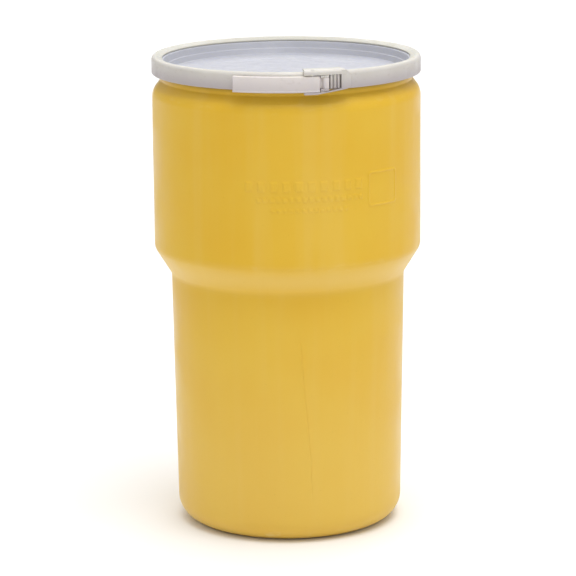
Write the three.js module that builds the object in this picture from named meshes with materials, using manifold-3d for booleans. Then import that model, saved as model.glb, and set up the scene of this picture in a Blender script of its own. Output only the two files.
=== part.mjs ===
// Overpack salvage drum: a stepped, nestable open-head plastic drum whose recessed lid is held down
// by a split clamping ring with a swinging lever, a draw link and a catch.
// Millimetres. +Z is up, the origin is the centre of the base, and the latch faces -Y.
// Bearings round the drum are degrees from -Y towards +X.

import * as THREE from 'three';
import { mergeVertices } from 'three/addons/utils/BufferGeometryUtils.js';
import Module from 'manifold-3d';

const wasm = await Module();
wasm.setup();

// ---- driving dimensions ------------------------------------------------------------------------

const ROUND_STEPS = 60;            // facets round a full turn
const GAP = 0.35;                  // space kept between neighbouring pieces

const HEIGHT = 673;                // floor to the ridge of the closing ring
const WALL = 4.6;                  // thickness of the moulded drum wall

const FOOT_INNER_RADIUS = 98;      // the base stands on the ring between here and its corner
const FOOT_RISE = 5;               // the middle of the base is raised by this much
const BASE_CORNER = 33;            // radius of the rounded base corner
const BASE_RADIUS = 160.7;         // lower body, at the base
const WAIST_RADIUS = 166.5;        // lower body, under the cone
const WAIST_Z = 362;
const BODY_RADIUS = 190;           // upper body
const CONE_TOP_Z = 400;
const EDGE_ROUND = 14;             // rounding at both ends of the cone
const SHOULDER_Z = 623;
const SHOULDER_ROUND = 22;
const NECK_RADIUS = 177.9;
const NECK_Z = 638.8;
const BEAD_RADIUS = 186.3;         // rolled bead round the mouth
const BEAD_TOP_Z = 660.5;
const MOUTH_RADIUS = 172.5;

const RING_RADIUS = 190.2;         // outer face of the closing ring
const RING_WALL = 2.6;
const RING_TOP_CORNER_Z = 676.7;     // where the face and the sloped top would meet; rounding makes the ridge
const RING_TOP_ROUND = 6.5;
const RING_RIDGE_RADIUS = 185.5;
const RING_TOP_INNER_RADIUS = 175;
const RING_TOP_INNER_Z = 669.6;
const RING_LIP_SLOPE = 0.15;       // rise over run of the lower flange that hooks the bead
const RING_LIP_RADIUS = 180.8;
const RING_FACE_LOW_Z = 648.6;
const RING_END_LEFT = 14.7;        // bearing where the band ends at the fulcrum
const RING_END_RIGHT = 17.6;       // bearing where the band starts again at the catch

const LID_PANEL_Z = 650;           // top of the flat middle of the lid
const LID_WALL = 3.2;
const LID_PANEL_RADIUS = 164.6;
const LID_STEP_Z = 657.5;          // ledge halfway up the wall of the lid's recess
const LID_STEP_RADIUS = 168.1;
const LID_SEAT_RADIUS = 174.4;     // where the underside of the rim starts
const LID_SKIRT_Z = 663.4;         // lower edge of the skirt outside the seal
const LID_RIM_RADIUS = 187.1;

const LEVER_INNER_RADIUS = 190.9;
const LEVER_OUTER_RADIUS = 196.6;
const LEVER_LOW_Z = 646.1;
const LEVER_HIGH_Z = 668.2;
const LEVER_TIP = -21.9;           // bearing of the free end of the lever
const LEVER_HEEL = 13.5;           // bearing where the full-height handle ends

const FULCRUM = { bearing: 16.1, radius: 193.5 };
const KNUCKLE_RADIUS = 4.4;
const FULCRUM_PIN_RADIUS = 2;
const LINK_PIVOT = { bearing: 10.5, radius: 193.6 };
const LINK_PIN_RADIUS = 2;
const PIN_CLEARANCE = 0.3;

const LUG_THICKNESS = 2.9;
const LUG_LOW_Z = 647.6;           // underside of the lower lug
const LUG_HIGH_Z = 668.9;          // top of the upper lug
const CHEEK_THICKNESS = 2.9;
const LINK_START = 7.1;            // bearing of the square end of the draw link
const LINK_END = 27.4;             // bearing where its bar fades into the band
const BAR_START = 22.4;            // bearing where the bar that pulls the catch starts
const LINK_TOP_Z = 676.6;
const LINK_OUTER_RADIUS = 197;
const LINK_INNER_RADIUS = 190.9;
const LINK_TOP_ROUND = 4.5;
const LOWER_CHEEK_TOP_Z = LEVER_LOW_Z - GAP;
const LOWER_CHEEK_RISE = {         // the lower cheek is level under the lever and then climbs to the bar
  under: [{ bearing: 11.5, z: LOWER_CHEEK_TOP_Z - CHEEK_THICKNESS }, { bearing: 22.5, z: 648.1 }],
  over: [{ bearing: 13.75, z: LOWER_CHEEK_TOP_Z }, { bearing: 13.75, z: LUG_LOW_Z - GAP },
    { bearing: 17.5, z: LUG_LOW_Z - GAP }, { bearing: 22.5, z: 650.3 }],
};
const LINK_FADE = [{ bearing: 23.8, z: LINK_TOP_Z }, { bearing: LINK_END, z: 667 }];   // slope of the bar's top
const CATCH = { start: 17.75, end: 21.6, low: 650.5, high: 668.8, base: 193.2, top: 196.2, ribs: 3 };
const SLOT = { start: 21.65, end: 22.4, low: 651, high: 661.3 };   // opening in the band beside the catch

// ---- materials ---------------------------------------------------------------------------------

const yellowPlastic = () => new THREE.MeshStandardMaterial({ color: 0xdfb03a, roughness: 0.48, metalness: 0 });
const lidPlastic = () => new THREE.MeshStandardMaterial({ color: 0xd2d5dc, roughness: 0.5, metalness: 0 });
const ringPlastic = () => new THREE.MeshStandardMaterial({ color: 0xe0dcd8, roughness: 0.45, metalness: 0 });
const sealRubber = () => new THREE.MeshStandardMaterial({ color: 0xb9b9b4, roughness: 0.85, metalness: 0 });
const pinPlastic = () => new THREE.MeshStandardMaterial({ color: 0xd3d0ca, roughness: 0.4, metalness: 0 });

// ---- shape helpers -----------------------------------------------------------------------------

const radians = (degrees) => (degrees * Math.PI) / 180;

/** A point in plan at a bearing and a distance from the drum's axis. */
function planPoint(bearing, radius) {
  return [radius * Math.sin(radians(bearing)), -radius * Math.cos(radians(bearing))];
}

/** A closed manifold solid from a closed three.js geometry. */
function solidOf(geometry) {
  const bare = geometry.clone();
  bare.deleteAttribute('normal');
  bare.deleteAttribute('uv');
  const merged = mergeVertices(bare, 1e-4);
  const index = Array.from(merged.index.array);
  const kept = [];
  for (let i = 0; i < index.length; i += 3) {
    const [a, b, c] = index.slice(i, i + 3);
    if (a !== b && b !== c && c !== a) kept.push(a, b, c);
  }
  return new wasm.Manifold(new wasm.Mesh({
    numProp: 3,
    vertProperties: new Float32Array(merged.attributes.position.array),
    triVerts: new Uint32Array(kept),
  }));
}

/** Corner points [r, z, rounding, steps] made into an outline whose corners are arcs. */
function roundedOutline(corners, closed) {
  const outline = [];
  corners.forEach(([r, z, rounding = 0, steps = 2], i) => {
    const here = new THREE.Vector2(r, z);
    if (!rounding) {
      outline.push(here);
      return;
    }
    const count = corners.length;
    const before = new THREE.Vector2(...corners[(i - 1 + count) % count]).sub(here).normalize();
    const after = new THREE.Vector2(...corners[(i + 1) % count]).sub(here).normalize();
    const half = Math.acos(THREE.MathUtils.clamp(before.dot(after), -1, 1)) / 2;
    const centre = here.clone().add(before.clone().add(after).normalize().multiplyScalar(rounding / Math.sin(half)));
    const start = here.clone().add(before.multiplyScalar(rounding / Math.tan(half))).sub(centre);
    const end = here.clone().add(after.multiplyScalar(rounding / Math.tan(half))).sub(centre);
    const turn = Math.atan2(start.cross(end), start.dot(end));
    for (let k = 0; k <= steps; k++) {
      outline.push(start.clone().rotateAround(new THREE.Vector2(), (turn * k) / steps).add(centre));
    }
  });
  if (closed) outline.push(outline[0].clone());
  return outline;
}

/** A full turn of an outline round the drum's axis. */
function revolve(corners, closed = true) {
  const geometry = new THREE.LatheGeometry(roundedOutline(corners, closed), ROUND_STEPS);
  geometry.rotateX(Math.PI / 2);
  return solidOf(geometry);
}

/** A flat plate between two radii, two bearings and two heights. */
function arcPlate(innerRadius, outerRadius, startBearing, endBearing, low, high) {
  const start = radians(startBearing - 90);
  const end = radians(endBearing - 90);
  const outline = new THREE.Shape();
  outline.absarc(0, 0, outerRadius, start, end, false);
  outline.absarc(0, 0, innerRadius, end, start, true);
  const steps = Math.max(1, Math.ceil((endBearing - startBearing) / 6));
  const geometry = new THREE.ExtrudeGeometry(outline, { depth: high - low, bevelEnabled: false, curveSegments: steps });
  geometry.translate(0, 0, low);
  return solidOf(geometry);
}

/** The wedge between two bearings, tall and wide enough to cut anything on the drum. */
function wedge(startBearing, endBearing) {
  const reach = BODY_RADIUS * 1.4;
  const outline = new THREE.Shape([new THREE.Vector2(0, 0)]);
  const steps = Math.max(1, Math.ceil((endBearing - startBearing) / 30));
  for (let k = 0; k <= steps; k++) {
    outline.lineTo(...planPoint(startBearing + ((endBearing - startBearing) * k) / steps, reach));
  }
  outline.closePath();
  return solidOf(new THREE.ExtrudeGeometry(outline, { depth: HEIGHT * 1.2, bevelEnabled: false }));
}

/** An upright cylinder at a pivot. */
function pillar(pivot, radius, low, high, facets = 16) {
  const geometry = new THREE.CylinderGeometry(radius, radius, high - low, facets);
  geometry.rotateX(Math.PI / 2);
  const [x, y] = planPoint(pivot.bearing, pivot.radius);
  geometry.translate(x, y, (low + high) / 2);
  return solidOf(geometry);
}

/** A named mesh of a solid. */
function piece(name, solid, material) {
  const { vertProperties, triVerts } = solid.getMesh();
  const geometry = new THREE.BufferGeometry();
  geometry.setAttribute('position', new THREE.BufferAttribute(vertProperties, 3));
  geometry.setIndex(new THREE.BufferAttribute(triVerts, 1));
  geometry.computeVertexNormals();
  const mesh = new THREE.Mesh(geometry, material);
  mesh.name = name;
  return mesh;
}

// ---- drum body ---------------------------------------------------------------------------------

/** Height of the top surface of the ring's lower flange at a radius; the bead's underside follows it. */
function lipTopZ(radius) {
  const inner = RING_RADIUS - RING_WALL;
  const cosine = 1 / Math.hypot(1, RING_LIP_SLOPE);
  return RING_FACE_LOW_Z + RING_WALL / cosine - (RING_RADIUS - inner) * RING_LIP_SLOPE
    - (inner - radius) * RING_LIP_SLOPE;
}

function drumBody() {
  const beadClearance = 0.45;
  const beadRound = 3.5;
  const footSlope = 12;
  const insideFloorZ = FOOT_RISE + WALL;
  return revolve([
    [0, FOOT_RISE],
    [FOOT_INNER_RADIUS - footSlope, FOOT_RISE],
    [FOOT_INNER_RADIUS, 0],
    [BASE_RADIUS, 0, BASE_CORNER, 5],
    [WAIST_RADIUS, WAIST_Z, EDGE_ROUND, 3],
    [BODY_RADIUS, CONE_TOP_Z, EDGE_ROUND, 3],
    [BODY_RADIUS, SHOULDER_Z, SHOULDER_ROUND, 3],
    [NECK_RADIUS, NECK_Z],
    [NECK_RADIUS, lipTopZ(NECK_RADIUS) + beadClearance],
    [BEAD_RADIUS, lipTopZ(BEAD_RADIUS) + beadClearance],
    [BEAD_RADIUS, BEAD_TOP_Z, beadRound, 2],
    [MOUTH_RADIUS, BEAD_TOP_Z, beadRound, 2],
    [MOUTH_RADIUS, NECK_Z - WALL],
    [BODY_RADIUS - WALL, SHOULDER_Z - WALL / 2, SHOULDER_ROUND - WALL, 3],
    [BODY_RADIUS - WALL, CONE_TOP_Z + WALL / 3, EDGE_ROUND - WALL, 2],
    [WAIST_RADIUS - WALL, WAIST_Z + WALL / 3, EDGE_ROUND + WALL, 2],
    [BASE_RADIUS - WALL, WALL, BASE_CORNER - WALL, 4],
    [FOOT_INNER_RADIUS, WALL],
    [FOOT_INNER_RADIUS - footSlope, insideFloorZ],
    [0, insideFloorZ],
  ], false);
}

// ---- lid and its seal --------------------------------------------------------------------------

/** Height of the underside of the ring's top flange at a radius; the lid rim follows it. */
function flangeUndersideZ(radius) {
  const slope = (HEIGHT - RING_TOP_INNER_Z) / (RING_RIDGE_RADIUS - RING_TOP_INNER_RADIUS);
  const drop = RING_WALL * 0.85 * Math.hypot(1, slope);
  return RING_TOP_INNER_Z + (radius - RING_TOP_INNER_RADIUS) * slope - drop;
}

const SEAL = { inner: 176.2, outer: 184.2, low: BEAD_TOP_Z + GAP };
const RIM_THICKNESS = 2.6;

/** Height of the underside of the lid's rim, where the seal sits. */
function sealSeatZ(radius) {
  return flangeUndersideZ(radius) - GAP - RIM_THICKNESS;
}

function lid() {
  const panelUndersideZ = LID_PANEL_Z - LID_WALL;
  const outerWallRadius = LID_STEP_RADIUS + 2.8;
  const skirtInner = SEAL.outer + 0.5;
  const rimShoulder = LID_RIM_RADIUS - 2.7;
  const rimInner = RING_TOP_INNER_RADIUS - 2;
  const rimTop = (radius) => flangeUndersideZ(radius) - GAP;
  return revolve([
    [0, panelUndersideZ],
    [LID_PANEL_RADIUS + 1.4, panelUndersideZ, 2, 2],
    [outerWallRadius, LID_STEP_Z],
    [LID_SEAT_RADIUS, sealSeatZ(LID_SEAT_RADIUS)],
    [skirtInner, sealSeatZ(skirtInner)],
    [skirtInner, LID_SKIRT_Z],
    [LID_RIM_RADIUS, LID_SKIRT_Z],
    [LID_RIM_RADIUS, rimTop(rimShoulder) - 2.5],
    [rimShoulder, rimTop(rimShoulder)],
    [rimInner, rimTop(rimInner), 1.2, 2],
    [LID_STEP_RADIUS + 1.3, LID_STEP_Z + 1],
    [LID_STEP_RADIUS, LID_STEP_Z],
    [LID_PANEL_RADIUS, LID_PANEL_Z, 2.5, 2],
    [0, LID_PANEL_Z],
  ], false);
}

function lidSeal() {
  return revolve([
    [SEAL.inner, SEAL.low, 1, 1],
    [SEAL.outer, SEAL.low, 1, 1],
    [SEAL.outer, sealSeatZ(SEAL.outer) - GAP],
    [SEAL.inner, sealSeatZ(SEAL.inner) - GAP],
  ]);
}

// ---- closing ring ------------------------------------------------------------------------------

/** The C-shaped band, full circle: a top flange over the lid, a face, and a lip under the bead. */
function bandSection() {
  const inner = RING_RADIUS - RING_WALL;
  const lipRun = RING_RADIUS - RING_LIP_RADIUS;
  const lipNormal = new THREE.Vector2(-RING_LIP_SLOPE, 1).normalize().multiplyScalar(RING_WALL);
  const lipZ = RING_FACE_LOW_Z - lipRun * RING_LIP_SLOPE;
  return revolve([
    [RING_LIP_RADIUS, lipZ],
    [RING_RADIUS, RING_FACE_LOW_Z, 1, 1],
    [RING_RADIUS, RING_TOP_CORNER_Z, RING_TOP_ROUND, 3],
    [RING_TOP_INNER_RADIUS, RING_TOP_INNER_Z],
    [RING_TOP_INNER_RADIUS, flangeUndersideZ(RING_TOP_INNER_RADIUS)],
    [inner - 2.6, flangeUndersideZ(inner - 2.6)],
    [inner, flangeUndersideZ(inner - 2.6) - 3],
    [inner, lipTopZ(inner)],
    [RING_LIP_RADIUS + lipNormal.x, lipZ + lipNormal.y],
  ]);
}

/** A fulcrum lug: a round plate over or under the knuckle with a root that joins the band's end. */
function fulcrumLug(low, high) {
  const rootStart = LEVER_HEEL + 0.3;
  const root = arcPlate(RING_RADIUS - RING_WALL + 0.2, FULCRUM.radius + 3, rootStart, FULCRUM.bearing, low, high);
  return pillar(FULCRUM, KNUCKLE_RADIUS, low, high, 20).add(root);
}

/** The block on the band's other end that the draw link pulls on, with its upright ribs. */
function catchBlock() {
  let block = arcPlate(RING_RADIUS - 1.6, CATCH.base, CATCH.start, CATCH.end, CATCH.low, CATCH.high);
  const pitch = (CATCH.end - CATCH.start) / (CATCH.ribs * 2 - 1);
  for (let k = 0; k < CATCH.ribs; k++) {
    const start = CATCH.start + 2 * k * pitch;
    block = block.add(arcPlate(CATCH.base - 0.5, CATCH.top, start, start + pitch, CATCH.low, CATCH.high));
  }
  return block;
}

function ringBand() {
  const bore = pillar(FULCRUM, FULCRUM_PIN_RADIUS + PIN_CLEARANCE, LUG_LOW_Z - 1, LINK_TOP_Z);
  const slot = arcPlate(RING_RADIUS - 2 * RING_WALL, RING_RADIUS + 1, SLOT.start, SLOT.end, SLOT.low, SLOT.high);
  return bandSection()
    .subtract(wedge(RING_END_LEFT, RING_END_RIGHT))
    .add(fulcrumLug(LUG_LOW_Z, LUG_LOW_Z + LUG_THICKNESS))
    .add(fulcrumLug(LUG_HIGH_Z - LUG_THICKNESS, LUG_HIGH_Z))
    .add(catchBlock())
    .subtract(slot)
    .subtract(bore);
}

// ---- lever -------------------------------------------------------------------------------------

function lever() {
  const knuckleLow = LUG_LOW_Z + LUG_THICKNESS + GAP;
  const knuckleHigh = LUG_HIGH_Z - LUG_THICKNESS - GAP;
  const edge = 1.2;
  const handle = revolve([
    [LEVER_INNER_RADIUS, LEVER_LOW_Z],
    [LEVER_OUTER_RADIUS, LEVER_LOW_Z, edge, 1],
    [LEVER_OUTER_RADIUS, LEVER_HIGH_Z, edge, 1],
    [LEVER_INNER_RADIUS, LEVER_HIGH_Z],
  ]).intersect(wedge(LEVER_TIP, LEVER_HEEL));
  const neck = arcPlate(LEVER_INNER_RADIUS, FULCRUM.radius - 0.7, LEVER_HEEL - 1, FULCRUM.bearing, knuckleLow, knuckleHigh);
  return handle
    .add(neck)
    .add(pillar(FULCRUM, KNUCKLE_RADIUS, knuckleLow, knuckleHigh, 20))
    .subtract(pillar(FULCRUM, FULCRUM_PIN_RADIUS + PIN_CLEARANCE, knuckleLow - 1, knuckleHigh + 1))
    .subtract(pillar(LINK_PIVOT, LINK_PIN_RADIUS + PIN_CLEARANCE, LEVER_LOW_Z - 1, LEVER_HIGH_Z + 1));
}

// ---- draw link ---------------------------------------------------------------------------------

/** A prism right through the latch side of the drum, from an outline of bearings and heights. */
function sidePrism(points) {
  const outline = new THREE.Shape(points.map(({ bearing, z }) => (
    new THREE.Vector2(LINK_OUTER_RADIUS * Math.sin(radians(bearing)), z))));
  const geometry = new THREE.ExtrudeGeometry(outline, { depth: BODY_RADIUS, bevelEnabled: false });
  geometry.rotateX(Math.PI / 2);
  return solidOf(geometry);
}

/** The top of the link: a plate over the ring with a rounded front that hangs over the lever. */
function upperCheek() {
  const innerRadius = 177;
  return revolve([
    [innerRadius, LINK_TOP_Z - CHEEK_THICKNESS],
    [LINK_INNER_RADIUS, LINK_TOP_Z - CHEEK_THICKNESS],
    [LINK_INNER_RADIUS, LUG_HIGH_Z + GAP],
    [LINK_OUTER_RADIUS, LUG_HIGH_Z + GAP],
    [LINK_OUTER_RADIUS, LINK_TOP_Z, LINK_TOP_ROUND, 3],
    [innerRadius, LINK_TOP_Z],
  ]).intersect(wedge(LINK_START, LINK_END));
}

/** Two cheeks that straddle the lever, joined by a bar that hooks behind the catch. */
function drawLink() {
  const taperStart = 24.5;
  const { under, over } = LOWER_CHEEK_RISE;
  const lowest = under[0].z;
  const past = LINK_END + 6;
  const pastUnder = under[1].z + ((past - under[1].bearing) * (under[1].z - under[0].z)) / 25;
  const strip = sidePrism([
    { bearing: 0, z: lowest }, under[0], under[1], { bearing: past, z: pastUnder },
    { bearing: past, z: over[3].z + 1.5 }, over[3], over[2], over[1], over[0], { bearing: 0, z: over[0].z },
  ]);
  const aboveUnder = sidePrism([under[0], under[1], { bearing: past, z: pastUnder },
    { bearing: past, z: HEIGHT + 10 }, { bearing: under[0].bearing, z: HEIGHT + 10 }]);
  const lowerCheek = arcPlate(LINK_INNER_RADIUS, LINK_OUTER_RADIUS, LINK_START, LINK_END, lowest - 1, over[3].z + 3)
    .intersect(strip);
  const bar = arcPlate(LINK_INNER_RADIUS, LINK_OUTER_RADIUS, BAR_START, LINK_END, lowest, LUG_HIGH_Z + 2)
    .intersect(aboveUnder);
  const [ax, ay] = planPoint(taperStart, LINK_OUTER_RADIUS);
  const [bx, by] = planPoint(LINK_END, LINK_INNER_RADIUS + 0.8);
  const [cx, cy] = planPoint(LINK_END + 3, LINK_OUTER_RADIUS + 12);
  const taper = new THREE.Shape([new THREE.Vector2(ax, ay), new THREE.Vector2(cx, cy), new THREE.Vector2(bx, by)]);
  const taperCut = new THREE.ExtrudeGeometry(taper, { depth: HEIGHT * 1.2, bevelEnabled: false });
  const [fadeStart, fadeEnd] = LINK_FADE;
  const fadeSlope = (fadeEnd.z - fadeStart.z) / (fadeEnd.bearing - fadeStart.bearing);
  const aboveFade = sidePrism([fadeStart, { bearing: past, z: fadeStart.z + fadeSlope * (past - fadeStart.bearing) },
    { bearing: past, z: HEIGHT + 10 }, { bearing: fadeStart.bearing, z: HEIGHT + 10 }]);
  return upperCheek()
    .add(lowerCheek)
    .add(bar)
    .subtract(aboveFade)
    .subtract(solidOf(taperCut))
    .subtract(pillar(LINK_PIVOT, LINK_PIN_RADIUS + PIN_CLEARANCE, lowest - 1, LINK_TOP_Z + 1));
}

// ---- assembly ----------------------------------------------------------------------------------

const drum = new THREE.Group();

const shell = new THREE.Group();
shell.add(piece('drum_body', drumBody(), yellowPlastic()));
drum.add(shell);

const cover = new THREE.Group();
cover.add(piece('lid', lid(), lidPlastic()));
cover.add(piece('lid_gasket', lidSeal(), sealRubber()));
drum.add(cover);

const closure = new THREE.Group();
closure.add(piece('ring_band', ringBand(), ringPlastic()));
closure.add(piece('lever', lever(), ringPlastic()));
closure.add(piece('draw_link', drawLink(), ringPlastic()));
closure.add(piece('fulcrum_pin', pillar(FULCRUM, FULCRUM_PIN_RADIUS, LUG_LOW_Z + GAP, LUG_HIGH_Z - GAP), pinPlastic()));
closure.add(piece('link_pin',
  pillar(LINK_PIVOT, LINK_PIN_RADIUS, LOWER_CHEEK_TOP_Z - CHEEK_THICKNESS + GAP, LINK_TOP_Z - GAP), pinPlastic()));
drum.add(closure);

export default drum;
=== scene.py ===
"""An overpack salvage drum: a stepped, nestable open-head drum of yellow polyethylene whose recessed lid is
held down by a split clamping ring with a swinging lever, a draw link and a catch.

Sections are drawn as (radius, height, rounding, steps) in millimetres and spun round the drum's axis. The
latch pieces are modelled flat, with their length along the ring, and then bent round the drum.
Bearings are degrees from -Y towards +X."""

import math

import bmesh
import bpy
from mathutils import Matrix, Vector, noise


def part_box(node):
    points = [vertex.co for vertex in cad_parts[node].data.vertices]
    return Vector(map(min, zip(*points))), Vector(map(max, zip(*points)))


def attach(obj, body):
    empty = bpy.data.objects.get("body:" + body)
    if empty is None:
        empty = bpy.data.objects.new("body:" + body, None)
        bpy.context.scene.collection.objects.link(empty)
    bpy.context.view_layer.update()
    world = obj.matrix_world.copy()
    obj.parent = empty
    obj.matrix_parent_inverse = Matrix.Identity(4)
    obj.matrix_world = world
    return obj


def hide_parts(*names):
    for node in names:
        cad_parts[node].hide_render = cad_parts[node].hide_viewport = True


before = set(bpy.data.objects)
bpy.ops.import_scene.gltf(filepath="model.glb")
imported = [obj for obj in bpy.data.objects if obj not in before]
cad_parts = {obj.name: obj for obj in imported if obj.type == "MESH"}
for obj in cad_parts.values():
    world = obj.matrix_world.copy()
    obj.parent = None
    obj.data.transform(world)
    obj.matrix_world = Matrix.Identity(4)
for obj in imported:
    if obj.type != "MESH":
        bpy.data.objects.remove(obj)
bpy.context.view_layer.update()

# ---- driving sizes, in millimetres -------------------------------------------------------------

MM = 0.001
TURN_STEPS = 180

BODY_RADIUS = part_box("drum_body")[1].x / MM
BEAD_TOP_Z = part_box("drum_body")[1].z / MM
RING_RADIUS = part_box("ring_band")[1].x / MM
LID_RIM_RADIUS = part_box("lid")[1].x / MM
SEAL_OUTER_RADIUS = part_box("lid_gasket")[1].x / MM
LINK_TOP_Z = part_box("draw_link")[1].z / MM
LEVER_LOW_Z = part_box("lever")[0].z / MM

HEIGHT = 673
WALL = 4.6
GAP = 0.35

FOOT_INNER_RADIUS = 98
FOOT_RISE = 5
BASE_CORNER = 33
BASE_RADIUS = 160.7
WAIST_RADIUS = 166.5
WAIST_Z = 362
CONE_TOP_Z = 400
EDGE_ROUND = 14
SHOULDER_Z = 623
SHOULDER_ROUND = 22
NECK_RADIUS = 177.9
NECK_Z = 638.8
BEAD_RADIUS = 186.3
MOUTH_RADIUS = 172.5

RING_WALL = 2.6
RING_TOP_INNER = (175, 669.6)
RING_TOP_CORNER_Z = 676.7
RING_TOP_ROUND = 6.5
RING_RIDGE_RADIUS = 185.5
RING_LIP_RADIUS = 180.8
RING_LIP_SLOPE = 0.15
RING_FACE_LOW_Z = 648.6
RING_END_LEFT = 14.7
RING_END_RIGHT = 17.6

LID_PANEL_Z = 650
LID_PANEL_RADIUS = 164.6
LID_WALL = 3.2
LID_STEP_Z = 657.5            # ledge halfway up the wall of the lid's recess
LID_STEP_RADIUS = 168.1
LID_SEAT_RADIUS = 174.4       # where the underside of the lid's rim starts
LID_SKIRT_Z = 663.4           # lower edge of the skirt outside the seal
SEAL_INNER_RADIUS = 176.2
SEAL_HEIGHT = 2.6

FULCRUM = (16.1, 193.5)
LINK_PIVOT = (10.5, 193.6)
KNUCKLE_RADIUS = 4.4
FULCRUM_PIN_RADIUS = 2
LINK_PIN_RADIUS = 2
PIN_CLEARANCE = 0.3
LUG_THICKNESS = 2.9
LUG_LOW_Z = 647.6
LUG_HIGH_Z = 668.9
LATCH_RADIUS = 193.5          # the latch pieces keep their length at this radius when they are bent


def lip_top_z(radius):
    """Height of the upper side of the ring's lower flange; the bead's underside follows it."""
    drop = (RING_RADIUS - radius) * RING_LIP_SLOPE
    return RING_FACE_LOW_Z + RING_WALL * math.hypot(1, RING_LIP_SLOPE) - drop


def flange_underside_z(radius):
    """Height of the underside of the ring's top flange; the lid's rim follows it."""
    inner_radius, inner_z = RING_TOP_INNER
    slope = (HEIGHT - inner_z) / (RING_RIDGE_RADIUS - inner_radius)
    return inner_z + (radius - inner_radius) * slope - RING_WALL * 0.85 * math.hypot(1, slope)


def seal_seat_z(radius):
    """Height of the underside of the lid's rim, where the seal sits."""
    return flange_underside_z(radius) - GAP - SEAL_HEIGHT


# ---- mesh helpers ------------------------------------------------------------------------------


def finish_mesh(bm, name, smooth_angle=32):
    """The bmesh as an object at the origin, smooth but for its sharp edges."""
    bmesh.ops.remove_doubles(bm, verts=bm.verts, dist=0.002 * MM)
    bmesh.ops.recalc_face_normals(bm, faces=bm.faces)
    mesh = bpy.data.meshes.new(name)
    bm.to_mesh(mesh)
    bm.free()
    mesh.shade_smooth()
    mesh.set_sharp_from_angle(angle=math.radians(smooth_angle))
    piece = bpy.data.objects.new(name, mesh)
    bpy.context.scene.collection.objects.link(piece)
    return piece


def wire_section(corners, closed, bearing=0.0, longest=7.0):
    """A bmesh with the section's outline as edges, rounded at its corners, standing at a bearing."""
    bm = bmesh.new()
    points = [bm.verts.new((0, -radius * MM, z * MM)) for radius, z, *_ in corners]
    pairs = list(zip(points, points[1:]))
    if closed:
        pairs.append((points[-1], points[0]))
    for pair in pairs:
        bm.edges.new(pair)
    for point, (_, _, *rounding) in zip(points, corners):
        if not rounding:
            continue
        radius, steps = rounding
        before, after = (edge.other_vert(point).co - point.co for edge in point.link_edges)
        half = before.normalized().angle(after.normalized()) / 2
        bmesh.ops.bevel(bm, geom=[point], offset=radius * MM / math.tan(half), offset_type="OFFSET",
                        segments=steps, profile=0.5, affect="VERTICES", material=-1)
    for edge in bm.edges[:]:
        cuts = math.ceil(edge.calc_length() / (longest * MM)) - 1
        if cuts > 0:
            bmesh.ops.subdivide_edges(bm, edges=[edge], cuts=cuts)
    turn = Matrix.Rotation(math.radians(bearing), 3, "Z")
    bmesh.ops.rotate(bm, verts=bm.verts, cent=(0, 0, 0), matrix=turn)
    return bm


def spun(corners, closed=False, steps=TURN_STEPS, longest=7.0):
    """A section spun through a full turn round the drum's axis."""
    bm = wire_section(corners, closed, longest=longest)
    bmesh.ops.spin(bm, geom=bm.verts[:] + bm.edges[:], cent=(0, 0, 0), axis=(0, 0, 1), dvec=(0, 0, 0),
                   angle=math.tau, steps=steps, use_merge=True, use_duplicate=False)
    bmesh.ops.remove_doubles(bm, verts=bm.verts, dist=0.002 * MM)
    bmesh.ops.dissolve_degenerate(bm, edges=bm.edges, dist=0.002 * MM)
    return bm


def bearing_of(point):
    """The bearing of a point, in degrees."""
    return math.degrees(math.atan2(point.x, -point.y))


def smooth_rise(value, low, high):
    """0 below low, 1 above high and an even slope between."""
    share = min(1.0, max(0.0, (value - low) / (high - low)))
    return share * share * (3 - 2 * share)


def push_out(point, distance):
    """Moves a vertex straight away from the drum's axis by a distance in millimetres."""
    flat = Vector((point.co.x, point.co.y, 0))
    if flat.length > 0:
        point.co += flat.normalized() * distance * MM


def flat_block(start, end, inner, outer, low, high, bevel=0.6, segments=2):
    """A block modelled flat: X is the bearing as a length along the ring, Y the radius and Z the height."""
    bm = bmesh.new()
    size = Vector((along(end) - along(start), (outer - inner) * MM, (high - low) * MM))
    centre = Vector(((along(end) + along(start)) / 2, (outer + inner) / 2 * MM, (high + low) / 2 * MM))
    bmesh.ops.create_cube(bm, size=1, matrix=Matrix.Translation(centre) @ Matrix.Diagonal(size).to_4x4())
    if bevel:
        bmesh.ops.bevel(bm, geom=bm.edges[:], offset=bevel * MM, offset_type="OFFSET", segments=segments,
                        profile=0.5, affect="EDGES", material=-1)
    return bm


def flat_pillar(pivot, radius, low, high, facets=48, bevel=0.0):
    """An upright cylinder at a pivot, in the flat layout."""
    bm = bmesh.new()
    centre = Vector((along(pivot[0]), pivot[1] * MM, (low + high) / 2 * MM))
    bmesh.ops.create_cone(bm, cap_ends=True, segments=facets, radius1=radius * MM, radius2=radius * MM,
                          depth=(high - low) * MM, matrix=Matrix.Translation(centre))
    if bevel:
        rims = [edge for edge in bm.edges if abs(edge.verts[0].co.z - edge.verts[1].co.z) < 1e-7]
        bmesh.ops.bevel(bm, geom=rims, offset=bevel * MM, offset_type="OFFSET", segments=3, profile=0.5,
                        affect="EDGES", material=-1)
    return bm


def along(bearing):
    """A bearing as a length along the ring, in metres."""
    return math.radians(bearing) * LATCH_RADIUS * MM


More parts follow.
